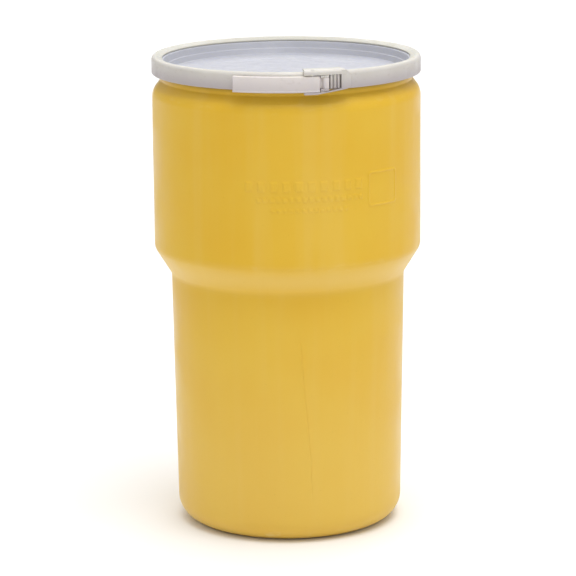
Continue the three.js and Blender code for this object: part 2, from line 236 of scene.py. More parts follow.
def boolean(bm, other, operation):
    """The union or difference of two closed bmeshes, which are both used up."""
    pieces = []
    for source in (bm, other):
        mesh = bpy.data.meshes.new("working")
        bmesh.ops.recalc_face_normals(source, faces=source.faces)
        source.to_mesh(mesh)
        source.free()
        piece = bpy.data.objects.new("working", mesh)
        bpy.context.scene.collection.objects.link(piece)
        pieces.append(piece)
    base, tool = pieces
    modifier = base.modifiers.new("boolean", "BOOLEAN")
    modifier.operation = operation
    modifier.solver = "EXACT"
    modifier.object = tool
    result = bmesh.new()
    result.from_object(base, bpy.context.evaluated_depsgraph_get())
    for piece in pieces:
        mesh = piece.data
        bpy.data.objects.remove(piece)
        bpy.data.meshes.remove(mesh)
    bmesh.ops.remove_doubles(result, verts=result.verts, dist=0.005 * MM)
    return result


def joined(*parts):
    """The union of several closed bmeshes."""
    whole = parts[0]
    for part in parts[1:]:
        whole = boolean(whole, part, "UNION")
    return whole


def drilled(bm, *tools):
    """A closed bmesh with several others cut out of it."""
    for tool in tools:
        bm = boolean(bm, tool, "DIFFERENCE")
    return bm


def bend_round_drum(bm, spacing=2.5):
    """Cuts a flat latch piece across at an even spacing and bends it round the drum's axis."""
    low = min(v.co.x for v in bm.verts)
    high = max(v.co.x for v in bm.verts)
    cuts = int((high - low) / (spacing * MM))
    for k in range(1, cuts):
        place = low + (high - low) * k / cuts
        bmesh.ops.bisect_plane(bm, geom=bm.verts[:] + bm.edges[:] + bm.faces[:], dist=1e-7,
                               plane_co=(place, 0, 0), plane_no=(1, 0, 0))
    for vert in bm.verts:
        angle = vert.co.x / (LATCH_RADIUS * MM)
        radius = vert.co.y
        vert.co.x = radius * math.sin(angle)
        vert.co.y = -radius * math.cos(angle)
    return bm


# ---- drum shell --------------------------------------------------------------------------------

PARTING_LINE = {"half_width": 0.9, "height": 0.15, "low": 30, "high": 600}
SWAY = {"scale": 9, "amount": 0.3, "inward": 0.14}      # how far the blown wall strays from a true round
WALL_TAPER = 0.0162
SKIN_DEPTH = 2
RELIEF_ZONE = {"bearings": (-24, 58), "heights": (472, 538), "cuts": 5}
DRAG_ZONE = {"bearings": (1, 15), "heights": (48, 318), "cuts": 4}
DASH_ROWS = [
    # height of the row's middle, first and last bearing, dashes, length and height of a dash
    {"z": 516, "start": -16, "end": 31, "count": 10, "length": 9.5, "height": 13.0},
    {"z": 498, "start": -12, "end": 32, "count": 17, "length": 5.6, "height": 6.6},
    {"z": 483, "start": -6, "end": 25, "count": 13, "length": 5.0, "height": 5.0},
]
PLAIN_FRAME = {"z": 506, "bearing": 44, "length": 54, "height": 48, "line": 2.2}
RELIEF_HEIGHT = 1.1
RELIEF_EDGE = 1.2
DRAG_LINE = [(312, 5.0), (296, 5.4), (270, 6.4), (240, 6.9), (190, 8.6), (120, 10.6), (82, 11.0), (58, 11.6)]
DRAG_LINE_DEPTH = 0.8
DRAG_LINE_WIDTH = 2.8
DRAG_LINE_FADE = {"top": 22, "bottom": 25}


def drum_corners():
    """The drum's wall in section: up the outside, over the bead and down the inside."""
    clearance = 0.45
    inside_floor = FOOT_RISE + WALL
    slope_start = FOOT_INNER_RADIUS - 12
    return [
        (0, FOOT_RISE),
        (slope_start, FOOT_RISE, 6, 4),
        (FOOT_INNER_RADIUS, 0, 6, 4),
        (BASE_RADIUS, 0, BASE_CORNER, 14),
        (WAIST_RADIUS, WAIST_Z, EDGE_ROUND, 8),
        (BODY_RADIUS, CONE_TOP_Z, EDGE_ROUND, 8),
        (BODY_RADIUS, SHOULDER_Z, SHOULDER_ROUND, 10),
        (NECK_RADIUS, NECK_Z, 2.5, 5),
        (NECK_RADIUS, lip_top_z(NECK_RADIUS) + clearance, 0.8, 3),
        (BEAD_RADIUS, lip_top_z(BEAD_RADIUS) + clearance, 1.2, 4),
        (BEAD_RADIUS, BEAD_TOP_Z, 3.5, 6),
        (MOUTH_RADIUS, BEAD_TOP_Z, 3.5, 6),
        (MOUTH_RADIUS, NECK_Z - WALL, 6, 5),
        (BODY_RADIUS - WALL, SHOULDER_Z - WALL / 2, SHOULDER_ROUND - WALL, 8),
        (BODY_RADIUS - WALL, CONE_TOP_Z + WALL / 3, EDGE_ROUND - WALL, 6),
        (WAIST_RADIUS - WALL, WAIST_Z + WALL / 3, EDGE_ROUND + WALL, 6),
        (BASE_RADIUS - WALL, WALL, BASE_CORNER - WALL, 10),
        (FOOT_INNER_RADIUS, WALL, 6, 4),
        (slope_start, inside_floor, 6, 4),
        (0, inside_floor),
    ]


def on_outside(point):
    """Whether a point of the drum lies on the outer side of its upright wall, and not on the inner side."""
    z = point.z / MM
    radius = Vector((point.x, point.y)).length / MM
    outer = BODY_RADIUS if z > CONE_TOP_Z + SKIN_DEPTH else BASE_RADIUS + z * WALL_TAPER
    return radius > outer - SKIN_DEPTH


def refine(bm, bearings, heights, cuts):
    """Divides the outer faces between two bearings and two heights into a finer grid."""
    faces = []
    for face in bm.faces:
        centre = face.calc_center_median()
        across = bearings[0] < bearing_of(centre) < bearings[1]
        if across and heights[0] < centre.z / MM < heights[1] and on_outside(centre):
            faces.append(face)
    edges = list(dict.fromkeys(edge for face in faces for edge in face.edges))
    bmesh.ops.subdivide_edges(bm, edges=edges, cuts=cuts, use_grid_fill=True)


def round_box_share(along_mm, up_mm, half_length, half_height, rounding=1.2):
    """How far a point lies inside a rounded rectangle: 1 within it, 0 outside and a soft edge between."""
    x = max(abs(along_mm) - half_length + rounding, 0)
    y = max(abs(up_mm) - half_height + rounding, 0)
    return 1 - smooth_rise(math.hypot(x, y) - rounding, -RELIEF_EDGE / 2, RELIEF_EDGE / 2)


def relief(bearing, z):
    """Height of the moulded-in plain dashes and the blank frame at a point of the upper body."""
    best = 0.0
    for row in DASH_ROWS:
        if abs(z - row["z"]) > row["height"] or not row["start"] - 3 < bearing < row["end"] + 3:
            continue
        pitch = (row["end"] - row["start"]) / (row["count"] - 1)
        nearest = row["start"] + pitch * round((bearing - row["start"]) / pitch)
        nearest = min(max(nearest, row["start"]), row["end"])
        offset = math.radians(bearing - nearest) * BODY_RADIUS
        best = max(best, round_box_share(offset, z - row["z"], row["length"] / 2, row["height"] / 2))
    offset = math.radians(bearing - PLAIN_FRAME["bearing"]) * BODY_RADIUS
    line = PLAIN_FRAME["line"]
    half_length = PLAIN_FRAME["length"] / 2
    half_height = PLAIN_FRAME["height"] / 2
    outer = round_box_share(offset, z - PLAIN_FRAME["z"], half_length, half_height, 5)
    inner = round_box_share(offset, z - PLAIN_FRAME["z"], half_length - line, half_height - line, 4)
    return max(best, outer - inner) * RELIEF_HEIGHT


def drag_groove(bearing, z):
    """Depth of the shallow wandering line that stripping from the mould left on the lower body."""
    for (high, first), (low, last) in zip(DRAG_LINE, DRAG_LINE[1:]):
        if low <= z <= high:
            middle = first + (last - first) * (high - z) / (high - low)
            offset = abs(math.radians(bearing - middle)) * WAIST_RADIUS
            top, bottom = DRAG_LINE[0][0], DRAG_LINE[-1][0]
            ends = smooth_rise(z, bottom, bottom + DRAG_LINE_FADE["bottom"])
            ends *= 1 - smooth_rise(z, top - DRAG_LINE_FADE["top"], top)
            return DRAG_LINE_DEPTH * ends * (1 - smooth_rise(offset, 0, DRAG_LINE_WIDTH / 2))
    return 0.0


def drum_shell():
    """The blow-moulded drum: one wall with a foot ring, a cone, a shoulder and a bead round the mouth."""
    bm = spun(drum_corners())
    for side in (-1, 1):
        bmesh.ops.bisect_plane(bm, geom=bm.verts[:] + bm.edges[:] + bm.faces[:], dist=1e-7,
                               plane_co=(0, side * PARTING_LINE["half_width"] * MM, 0), plane_no=(0, 1, 0))
    refine(bm, **RELIEF_ZONE)
    refine(bm, **DRAG_ZONE)
    for vert in bm.verts:
        bearing, z = bearing_of(vert.co), vert.co.z / MM
        radius = Vector((vert.co.x, vert.co.y)).length / MM
        outer = on_outside(vert.co)
        on_parting_line = abs(vert.co.y) < 0.2 * MM and PARTING_LINE["low"] < z < PARTING_LINE["high"]
        upright = smooth_rise(z, 12, 60) * (1 - smooth_rise(z, 600, 625)) * smooth_rise(radius, 120, 150)
        sway = noise.noise(vert.co * SWAY["scale"] + Vector((3.1, 7.7, 1.3)))
        push_out(vert, (sway * SWAY["amount"] - SWAY["inward"]) * upright)
        if outer and z > CONE_TOP_Z + EDGE_ROUND:
            push_out(vert, relief(bearing, z))
        if outer and z < WAIST_Z - EDGE_ROUND:
            push_out(vert, -drag_groove(bearing, z))
        if outer and on_parting_line:
            push_out(vert, PARTING_LINE["height"])
    return finish_mesh(bm, "drum_shell", 45)


# ---- lid and seal ------------------------------------------------------------------------------


def rim_top_z(radius):
    """Height of the top of the lid's rim, just under the ring's flange."""
    return flange_underside_z(radius) - GAP / 3


def lid_cover():
    """The recessed lid: a flat panel, a stepped wall, a sloped rim and a short skirt outside the seal."""
    panel_underside = LID_PANEL_Z - LID_WALL
    seat_edge = SEAL_OUTER_RADIUS + 0.5
    rim_shoulder = LID_RIM_RADIUS - 2.7
    rim_inner = RING_TOP_INNER[0] - 2
    gate_radius, gate_height = 5, 0.5
    bead_radius, bead_half, bead_height = 118, 1.6, 0.35
    corners = [
        (0, panel_underside),
        (LID_PANEL_RADIUS + 1.4, panel_underside, 2, 4),
        (LID_STEP_RADIUS + 2.8, LID_STEP_Z, 3, 4),
        (LID_SEAT_RADIUS, seal_seat_z(LID_SEAT_RADIUS), 0.6, 3),
        (seat_edge, seal_seat_z(seat_edge), 0.5, 2),
        (seat_edge, LID_SKIRT_Z, 0.5, 3),
        (LID_RIM_RADIUS, LID_SKIRT_Z, 0.5, 3),
        (LID_RIM_RADIUS, rim_top_z(rim_shoulder) - 2.5, 1.0, 3),
        (rim_shoulder, rim_top_z(rim_shoulder), 1.0, 3),
        (rim_inner, rim_top_z(rim_inner), 1.2, 4),
        (LID_STEP_RADIUS + 1.3, LID_STEP_Z + 1, 0.5, 3),
        (LID_STEP_RADIUS, LID_STEP_Z, 0.5, 3),
        (LID_PANEL_RADIUS, LID_PANEL_Z, 2.5, 5),
        (bead_radius + bead_half, LID_PANEL_Z, 0.8, 2),
        (bead_radius, LID_PANEL_Z + bead_height, 0.8, 2),
        (bead_radius - bead_half, LID_PANEL_Z, 0.8, 2),
        (gate_radius + 1, LID_PANEL_Z, 0.5, 2),
        (gate_radius, LID_PANEL_Z + gate_height, 0.5, 2),
        (0, LID_PANEL_Z + gate_height),
    ]
    return finish_mesh(spun(corners), "lid_cover")


def lid_seal():
    """The seal ring that the lid's rim presses on the drum's bead."""
    inner, outer = SEAL_INNER_RADIUS, SEAL_OUTER_RADIUS
    low = BEAD_TOP_Z + GAP
    corners = [
        (inner, low, 1.1, 4),
        (outer, low, 1.1, 4),
        (outer, seal_seat_z(outer) - GAP, 0.8, 3),
        (inner, seal_seat_z(inner) - GAP, 0.8, 3),
    ]
    return finish_mesh(spun(corners, closed=True), "lid_seal")


# ---- closing ring ------------------------------------------------------------------------------

# Start, end, tip and heel are bearings, low and high are heights, and the rest are radii or a count.
CATCH = {"start": 17.75, "end": 21.6, "low": 650.5, "high": 668.8, "base": 193.2, "top": 196.2, "ribs": 3}
SLOT = {"start": 21.65, "end": 22.4, "low": 651, "high": 661.3}
LEVER = {"tip": -21.9, "heel": 13.5, "inner": 190.9, "outer": 196.6, "high": 668.2}


def band_corners():
    """The band in section: a sloped top over the lid, a face, and a lip that hooks under the bead."""
    inner = RING_RADIUS - RING_WALL
    lip_z = RING_FACE_LOW_Z - (RING_RADIUS - RING_LIP_RADIUS) * RING_LIP_SLOPE
    inward = Vector((-RING_LIP_SLOPE, 1)).normalized() * RING_WALL
    inner_radius, inner_z = RING_TOP_INNER
    bend = inner - 2.6
    return [
        (RING_LIP_RADIUS, lip_z, 0.8, 3),
        (RING_RADIUS, RING_FACE_LOW_Z, 1.6, 5),
        (RING_RADIUS, RING_TOP_CORNER_Z, RING_TOP_ROUND, 12),
        (inner_radius, inner_z, 0.8, 3),
        (inner_radius, flange_underside_z(inner_radius), 0.6, 2),
        (bend, flange_underside_z(bend), 1, 3),
        (inner, flange_underside_z(bend) - 3, 1, 3),
        (inner, lip_top_z(inner), 0.6, 2),
        (RING_LIP_RADIUS + inward.x, lip_z + inward.y, 0.8, 3),
    ]


def band_sweep():
    """The band's section swept from the catch end round to the fulcrum end, and closed at both ends."""
    bm = wire_section(band_corners(), closed=True, bearing=RING_END_RIGHT, longest=4.0)
    first = bm.edges[:]
    turn = math.radians(360 + RING_END_LEFT - RING_END_RIGHT)
    swept = bmesh.ops.spin(bm, geom=bm.verts[:] + bm.edges[:], cent=(0, 0, 0), axis=(0, 0, 1),
                           dvec=(0, 0, 0), angle=turn, steps=TURN_STEPS, use_merge=False,
                           use_duplicate=False)
    last = [item for item in swept["geom_last"] if isinstance(item, bmesh.types.BMEdge)]
    bmesh.ops.contextual_create(bm, geom=first)
    bmesh.ops.contextual_create(bm, geom=last)
    bmesh.ops.recalc_face_normals(bm, faces=bm.faces)
    return bm


def fulcrum_lug(low, high):
    """A round plate over or under the lever's knuckle, with a root that joins the end of the band."""
    plate = flat_pillar(FULCRUM, KNUCKLE_RADIUS, low, high, bevel=0.6)
    root = flat_block(LEVER["heel"] + 0.3, FULCRUM[0], RING_RADIUS - RING_WALL + 0.2, FULCRUM[1] + 3,
                      low, high, bevel=0.5)
    return bend_round_drum(joined(plate, root))


def catch_block():
    """The block that the draw link pulls on, with upright ribs on its face."""
    low, high = CATCH["low"], CATCH["high"]
    block = flat_block(CATCH["start"], CATCH["end"], RING_RADIUS - 1.6, CATCH["base"], low, high, bevel=0.3)
    pitch = (CATCH["end"] - CATCH["start"]) / (CATCH["ribs"] * 2 - 1)
    for k in range(CATCH["ribs"]):
        start = CATCH["start"] + 2 * k * pitch
        rib = flat_block(start, start + pitch, CATCH["base"] - 0.5, CATCH["top"], low, high, bevel=0.5)
        block = joined(block, rib)
    return bend_round_drum(block)


def clamp_band():
    """The split band with the fulcrum lugs on one end and the catch on the other."""
    band = joined(
        band_sweep(),
        fulcrum_lug(LUG_LOW_Z, LUG_LOW_Z + LUG_THICKNESS),
        fulcrum_lug(LUG_HIGH_Z - LUG_THICKNESS, LUG_HIGH_Z),
        catch_block(),
    )
    slot = flat_block(SLOT["start"], SLOT["end"], RING_RADIUS - 2 * RING_WALL, RING_RADIUS + 1,
                      SLOT["low"], SLOT["high"], bevel=0)
    bore = flat_pillar(FULCRUM, FULCRUM_PIN_RADIUS + PIN_CLEARANCE, LUG_LOW_Z - 1, LINK_TOP_Z)
    return finish_mesh(drilled(band, bend_round_drum(slot), bend_round_drum(bore)), "clamp_band")


# ---- lever -------------------------------------------------------------------------------------


def lever_handle():
    """The curved handle: a plain face with a lip along its lower edge, and the knuckle it swings on."""
    low, high = LEVER_LOW_Z, LEVER["high"]
    knuckle_low = LUG_LOW_Z + LUG_THICKNESS + GAP
    knuckle_high = LUG_HIGH_Z - LUG_THICKNESS - GAP
    grip = flat_block(LEVER["tip"], LEVER["heel"], LEVER["inner"], LEVER["outer"] - 0.5, low + 1, high,
                      bevel=1.4, segments=4)
    lip = flat_block(LEVER["tip"], LEVER["heel"], LEVER["inner"], LEVER["outer"], low, low + 2.6,
                     bevel=0.8, segments=3)
    neck = flat_block(LEVER["heel"] - 1, FULCRUM[0], LEVER["inner"], FULCRUM[1] - 0.7,
                      knuckle_low, knuckle_high, bevel=0.5)
    knuckle = flat_pillar(FULCRUM, KNUCKLE_RADIUS, knuckle_low, knuckle_high, bevel=0.5)
    bores = [
        flat_pillar(FULCRUM, FULCRUM_PIN_RADIUS + PIN_CLEARANCE, knuckle_low - 1, knuckle_high + 1),
        flat_pillar(LINK_PIVOT, LINK_PIN_RADIUS + PIN_CLEARANCE, low - 1, high + 1),
    ]
    handle = drilled(joined(grip, lip, neck, knuckle), *bores)
    return finish_mesh(bend_round_drum(handle), "lever_handle")


# ---- draw link ---------------------------------------------------------------------------------

# Start, end and bar_start are bearings, front_low is a height, and the rest are radii and thicknesses.
LINK = {"start": 7.1, "end": 27.4, "inner": 190.9, "outer": 197, "bar_start": 22.4, "cheek": 2.9,
        "top_inner": 177, "front_low": LUG_HIGH_Z + GAP, "top_round": 4.5}
LOWER_CHEEK_TOP = LEVER_LOW_Z - GAP
CLIMB_UNDER = ((11.5, LOWER_CHEEK_TOP - LINK["cheek"]), (22.5, 648.1))
CLIMB_OVER = ((17.5, LUG_LOW_Z - GAP), (22.5, 650.3))
BAR_FADE = ((23.8, LINK_TOP_Z), (LINK["end"], 667))


def trimmed(bm, line, above):
    """A flat latch piece with what lies above, or below, a sloping line cut off. The line is given as
    two (bearing, height) points."""
    (first, first_z), (last, last_z) = line
    start = Vector((along(first), 0, first_z * MM))
    run = Vector((along(last), 0, last_z * MM)) - start
    up = Vector((-run.z, 0, run.x)).normalized()
    cut = bmesh.ops.bisect_plane(bm, geom=bm.verts[:] + bm.edges[:] + bm.faces[:], dist=1e-7, plane_co=start,
                                 plane_no=up if above else -up, clear_outer=True)
    rim = [item for item in cut["geom_cut"] if isinstance(item, bmesh.types.BMEdge)]
    bmesh.ops.contextual_create(bm, geom=rim)
    return bm


def upper_cheek():
    """The top of the link: a plate over the ring with a rounded front that hangs over the lever."""
    plate = flat_block(LINK["start"], LINK["end"], LINK["top_inner"], LINK["outer"] - LINK["top_round"],
                       LINK_TOP_Z - LINK["cheek"], LINK_TOP_Z, 0.5, 3)
    front = flat_block(LINK["start"], LINK["end"], LINK["inner"], LINK["outer"], LINK["front_low"],
                       LINK_TOP_Z, bevel=0)
    top, outside = (LINK_TOP_Z - 0.1) * MM, (LINK["outer"] - 0.1) * MM
    ridge = [edge for edge in front.edges if all(v.co.z > top and v.co.y > outside for v in edge.verts)]
    bmesh.ops.bevel(front, geom=ridge, offset=LINK["top_round"] * MM, offset_type="OFFSET", segments=8,
                    profile=0.5, affect="EDGES", material=-1)
    rest = [edge for edge in front.edges if edge.calc_face_angle(0) > math.radians(40)]
    bmesh.ops.bevel(front, geom=rest, offset=0.5 * MM, offset_type="OFFSET", segments=2, profile=0.5,
                    affect="EDGES", material=-1)
    return joined(plate, front)


def draw_link_frame():
    """Two cheeks that straddle the lever, joined by a bar that hooks behind the catch."""
    lowest = CLIMB_UNDER[0][1]
    inner, outer = LINK["inner"], LINK["outer"]
    step, climb = 13.75, CLIMB_OVER[0][0]
    taper_start = 24.5
    under_lever = flat_block(LINK["start"], step + 0.2, inner, outer, lowest, LOWER_CHEEK_TOP, 0.6, 3)
    under_lug = flat_block(step, climb + 0.6, inner, outer, lowest, LUG_LOW_Z - GAP, 0.5, 3)
    climbing = flat_block(climb - 0.6, LINK["end"], inner, outer, lowest, CLIMB_OVER[1][1] + 4, 0.6, 3)
    climbing = trimmed(climbing, CLIMB_OVER, above=True)
    bar = flat_block(LINK["bar_start"], LINK["end"], inner, outer, lowest, LINK_TOP_Z - 1, 0.6, 3)
    parts = [trimmed(part, CLIMB_UNDER, above=False) for part in (under_lever, under_lug, climbing, bar)]
    link = trimmed(joined(upper_cheek(), *parts), BAR_FADE, above=True)
    taper = flat_block(taper_start, LINK["end"] + 6, LINK["outer"], LINK["outer"] + 14, lowest - 5,
                       LINK_TOP_Z + 5, bevel=0)
    run = along(LINK["end"]) - along(taper_start)
    turn = math.atan2((LINK["outer"] - LINK["inner"] - 0.8) * MM, run)
    bmesh.ops.rotate(taper, verts=taper.verts, cent=(along(taper_start), LINK["outer"] * MM, 0),
                     matrix=Matrix.Rotation(-turn, 3, "Z"))
    bore = flat_pillar(LINK_PIVOT, LINK_PIN_RADIUS + PIN_CLEARANCE, lowest - 1, LINK_TOP_Z + 1)
    return finish_mesh(bend_round_drum(drilled(link, taper, bore)), "draw_link_frame")


# ---- pins --------------------------------------------------------------------------------------


def pin(name, pivot, radius, node):
    """A hinge pin with rounded ends."""
    low, high = (corner.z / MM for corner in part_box(node))
    bm = flat_pillar(pivot, radius, low, high, facets=40, bevel=0.5)
    return finish_mesh(bend_round_drum(bm, spacing=5), name)


# ---- materials ---------------------------------------------------------------------------------


class Finish:
    """A material on the Principled shader, with the few kinds of node that these finishes use."""

    def __init__(self, name, roughness, specular=0.5, subsurface=0.0, subsurface_depth=0.0):
        self.material = bpy.data.materials.new(name)
        self.material.use_nodes = True
        self.tree = self.material.node_tree
        self.shader = self.tree.nodes["Principled BSDF"]
        self.shader.inputs["Roughness"].default_value = roughness
        self.shader.inputs["Specular IOR Level"].default_value = specular
        self.shader.inputs["Subsurface Weight"].default_value = subsurface
        self.shader.inputs["Subsurface Radius"].default_value = (1.0, 0.75, 0.35)
        self.shader.inputs["Subsurface Scale"].default_value = subsurface_depth
        self.place = self.tree.nodes.new("ShaderNodeTexCoord").outputs["Object"]

    def node(self, kind, values=None, links=None, **settings):
        """A node with its settings, the values of its inputs and what is linked to them."""
        node = self.tree.nodes.new(kind)
        for name, setting in settings.items():
            setattr(node, name, setting)
        for name, value in (values or {}).items():
            node.inputs[name].default_value = value
        for name, source in (links or {}).items():
            self.tree.links.new(source, node.inputs[name])
        return node

    def maths(self, operation, first, second):
        """One step of arithmetic on a socket and a socket or number."""
        links, values = {0: first}, {}
        if isinstance(second, (int, float)):
            values[1] = second
        else:
            links[1] = second
        return self.node("ShaderNodeMath", values, links, operation=operation).outputs["Value"]

    def scaled(self, source, factor):
        """A socket times a number or another socket."""
        return self.maths("MULTIPLY", source, factor)

    def spread(self, source, low, high, to_low=0.0, to_high=1.0):
        """A socket's range from low to high, eased and stretched to another range."""
        values = {"From Min": low, "From Max": high, "To Min": to_low, "To Max": to_high}
        return self.node("ShaderNodeMapRange", values, {"Value": source},
                         interpolation_type="SMOOTHSTEP").outputs["Result"]

    def clouds(self, scale, low=0.35, high=0.65, detail=3.0, stretch=(1, 1, 1)):
        """Soft noise between 0 and 1. A stretch under 1 draws it out along that axis."""
        place = self.node("ShaderNodeMapping", {"Scale": stretch}, {"Vector": self.place}).outputs["Vector"]
        noise_out = self.node("ShaderNodeTexNoise", {"Scale": scale, "Detail": detail}, {"Vector": place})
        return self.spread(noise_out.outputs["Fac"], low, high)

    def height(self):
        """Height above the floor, in metres."""
        return self.node("ShaderNodeSeparateXYZ", links={"Vector": self.place}).outputs["Z"]

    def radius(self):
        """Distance from the drum's axis, in metres."""
        flat = self.node("ShaderNodeVectorMath", {1: (1, 1, 0)}, {0: self.place}, operation="MULTIPLY")
        return self.node("ShaderNodeVectorMath", links={0: flat.outputs["Vector"]},
                         operation="LENGTH").outputs["Value"]

    def band(self, middle, half_width):
        """1 at a height in metres, falling to 0 at half_width above and below it."""
        away = self.maths("ABSOLUTE", self.maths("SUBTRACT", self.height(), middle), 0.0)
        return self.spread(away, 0.0, half_width, 1.0, 0.0)

    def mixed(self, share, first, second):
        """A colour between two, each a socket or three numbers."""
        values, links = {}, {"Factor": share}
        for name, colour in (("A", first), ("B", second)):
            if isinstance(colour, tuple):
                values[name] = (*colour, 1.0)
            else:
                links[name] = colour
        node = self.tree.nodes.new("ShaderNodeMix")
        node.data_type = "RGBA"
        sockets = {socket.identifier: socket for socket in node.inputs}
        for name, value in values.items():
            sockets[name + "_Color"].default_value = value
        for name, source in links.items():
            self.tree.links.new(source, sockets["Factor_Float" if name == "Factor" else name + "_Color"])
        return next(socket for socket in node.outputs if socket.identifier == "Result_Color")

    def bump(self, height, distance, strength=1.0, over=None):
        """A bump of a height socket between 0 and 1, over an earlier bump."""
        links = {"Height": height}
        if over is not None:
            links["Normal"] = over
        values = {"Strength": strength, "Distance": distance}
        return self.node("ShaderNodeBump", values, links).outputs["Normal"]

    def done(self, colour, roughness=None, normal=None):
        """Links what varies over the surface to the shader and gives the material."""
        self.tree.links.new(colour, self.shader.inputs["Base Color"])
        if roughness is not None:
            self.tree.links.new(roughness, self.shader.inputs["Roughness"])
        if normal is not None:
            self.tree.links.new(normal, self.shader.inputs["Normal"])
        return self.material


# Painted shade: a dark band on the neck just under the ring's lower edge, where the ring shades it.
UNDER_RING_PAINTED_SHADE = {"middle": 0.648, "half_width": 0.007, "amount": 0.75}
# Painted light: the cone is paled where it faces down towards the white floor and reflects it.
CONE_PAINTED_LIGHT = {"half_width": 0.030, "amount": 0.70}
WORN_EDGES = [
    {"middle": 0.006, "half_width": 0.014, "amount": 0.55},
    {"middle": 0.400, "half_width": 0.010, "amount": 0.10},
    {"middle": 0.626, "half_width": 0.016, "amount": 0.08},
]


def yellow_polyethylene():
    """The drum: yellow polyethylene, slightly cloudy and paler towards the foot, with a painted reflection
    of the floor on the cone, scuffed where it is handled and stood down, and painted shade under the ring."""
    finish = Finish("yellow_polyethylene", 0.34, specular=0.22, subsurface=0.10, subsurface_depth=0.004)
    deep, usual = (0.728, 0.436, 0.030), (0.740, 0.468, 0.042)
    pale, chalk = (0.765, 0.530, 0.135), (0.80, 0.64, 0.28)
    speck, painted_shade_colour = (0.45, 0.26, 0.02), (0.30, 0.20, 0.03)
    colour = finish.mixed(finish.clouds(7, 0.3, 0.7), deep, usual)
    colour = finish.mixed(finish.spread(finish.height(), 0.42, 0.05, 0.0, 0.45), colour, pale)
    # painted reflection of the white floor on the downward-facing cone
    cone_light = finish.band((WAIST_Z + CONE_TOP_Z) / 2 * MM, CONE_PAINTED_LIGHT["half_width"])
    colour = finish.mixed(finish.scaled(cone_light, CONE_PAINTED_LIGHT["amount"]), colour, pale)
    streaks = finish.clouds(30, 0.45, 0.75, stretch=(1, 1, 0.05))
    colour = finish.mixed(finish.scaled(streaks, 0.22), colour, pale)
    edges = [finish.scaled(finish.band(edge["middle"], edge["half_width"]), edge["amount"])
             for edge in WORN_EDGES]
    wear = edges[0]
    for edge in edges[1:]:
        wear = finish.maths("ADD", wear, edge)
    scuffs = finish.clouds(55, 0.56, 0.70, detail=8, stretch=(1, 1, 2.5))
    wear = finish.scaled(wear, scuffs)
    colour = finish.mixed(wear, colour, chalk)
    specks = finish.clouds(420, 0.70, 0.78, detail=1)
    colour = finish.mixed(finish.scaled(specks, 0.14), colour, speck)
    # painted shade on the neck under the ring's lower edge
    under_ring_shade = finish.band(UNDER_RING_PAINTED_SHADE["middle"], UNDER_RING_PAINTED_SHADE["half_width"])
    colour = finish.mixed(finish.scaled(under_ring_shade, UNDER_RING_PAINTED_SHADE["amount"]), colour, painted_shade_colour)
    roughness = finish.spread(finish.clouds(18, 0.3, 0.7), 0, 1, 0.29, 0.40)
    roughness = finish.maths("ADD", roughness, finish.scaled(wear, 0.25))
    swell = finish.bump(finish.clouds(11, 0.2, 0.8, detail=2), 0.0012, 0.35)
    peel = finish.bump(finish.clouds(240, 0.2, 0.8, detail=2), 0.00012, 0.35, over=swell)
    scratch = finish.clouds(90, 0.60, 0.72, detail=6, stretch=(1, 1, 0.04))
    return finish.done(colour, roughness, finish.bump(scratch, 0.00015, 0.3, over=peel))


def natural_plastic(name, colours, roughness=0.42, rubbing=0.30, deep=None, depth=0.0, top=None):
    """Natural polyethylene of the ring, its latch and the lid: milky, with flow clouds, specks and rubbed
    patches. Painted shade can darken it towards the ring's lower edge and grey its top flange."""
    finish = Finish(name, roughness, subsurface=0.15, subsurface_depth=0.002)
    light, dull, grey = colours
    colour = finish.mixed(finish.clouds(24, 0.3, 0.7), light, dull)
    # Painted shade: darker towards the ring's lower edge, where less of the overhead light reaches the face.
    if deep:
        low_edge, top_edge = RING_FACE_LOW_Z * MM, (HEIGHT - 2) * MM
        colour = finish.mixed(finish.spread(finish.height(), top_edge, low_edge, 0.0, depth), colour, deep)
    # Painted shade: the top flange is greyed so that the overhead light does not wash it out.
    if top:
        colour = finish.mixed(finish.spread(finish.radius(), *TOP_FLANGE_EDGE, 0.95, 0.0), colour, top)
    rubbed = finish.clouds(130, 0.56, 0.72, detail=7, stretch=(1, 1, 1.8))
    colour = finish.mixed(finish.scaled(rubbed, rubbing), colour, grey)
    specks = finish.clouds(900, 0.70, 0.76, detail=1)
    colour = finish.mixed(finish.scaled(specks, 0.2), colour, grey)
    varied = finish.spread(finish.clouds(60, 0.3, 0.7), 0, 1, roughness - 0.07, roughness + 0.09)
    varied = finish.maths("ADD", varied, finish.scaled(rubbed, 0.12))
    swell = finish.bump(finish.clouds(45, 0.2, 0.8, detail=2), 0.0004, 0.3)
    grain = finish.bump(finish.clouds(700, 0.2, 0.8, detail=2), 0.00006, 0.4, over=swell)
    return finish.done(colour, varied, grain)


# Painted shade colour for the lower edge of the ring and lever faces.
RING_LOW_EDGE_SHADE = (0.38, 0.33, 0.345)
# Painted shade colour for the ring's top flange, holding back the overhead light on it.
RING_TOP_SHADE = (0.50, 0.485, 0.425)
TOP_FLANGE_EDGE = (0.1845, 0.1885)


def ring_plastic():
    """The ring and the draw link."""
    light, dull, grey = (0.61, 0.58, 0.535), (0.575, 0.545, 0.505), (0.44, 0.40, 0.36)
    # Painted shade on the ring's lower edge and on its top flange.
    return natural_plastic("ring_plastic", (light, dull, grey), deep=RING_LOW_EDGE_SHADE, depth=0.75, top=RING_TOP_SHADE)


def lever_plastic():
    """The lever, a little lighter than the ring."""
    light, dull, grey = (0.73, 0.675, 0.645), (0.69, 0.635, 0.61), (0.52, 0.46, 0.43)
    # The lever takes a lighter share of the same painted shade towards its lower edge.
    return natural_plastic("lever_plastic", (light, dull, grey), deep=RING_LOW_EDGE_SHADE, depth=0.4)


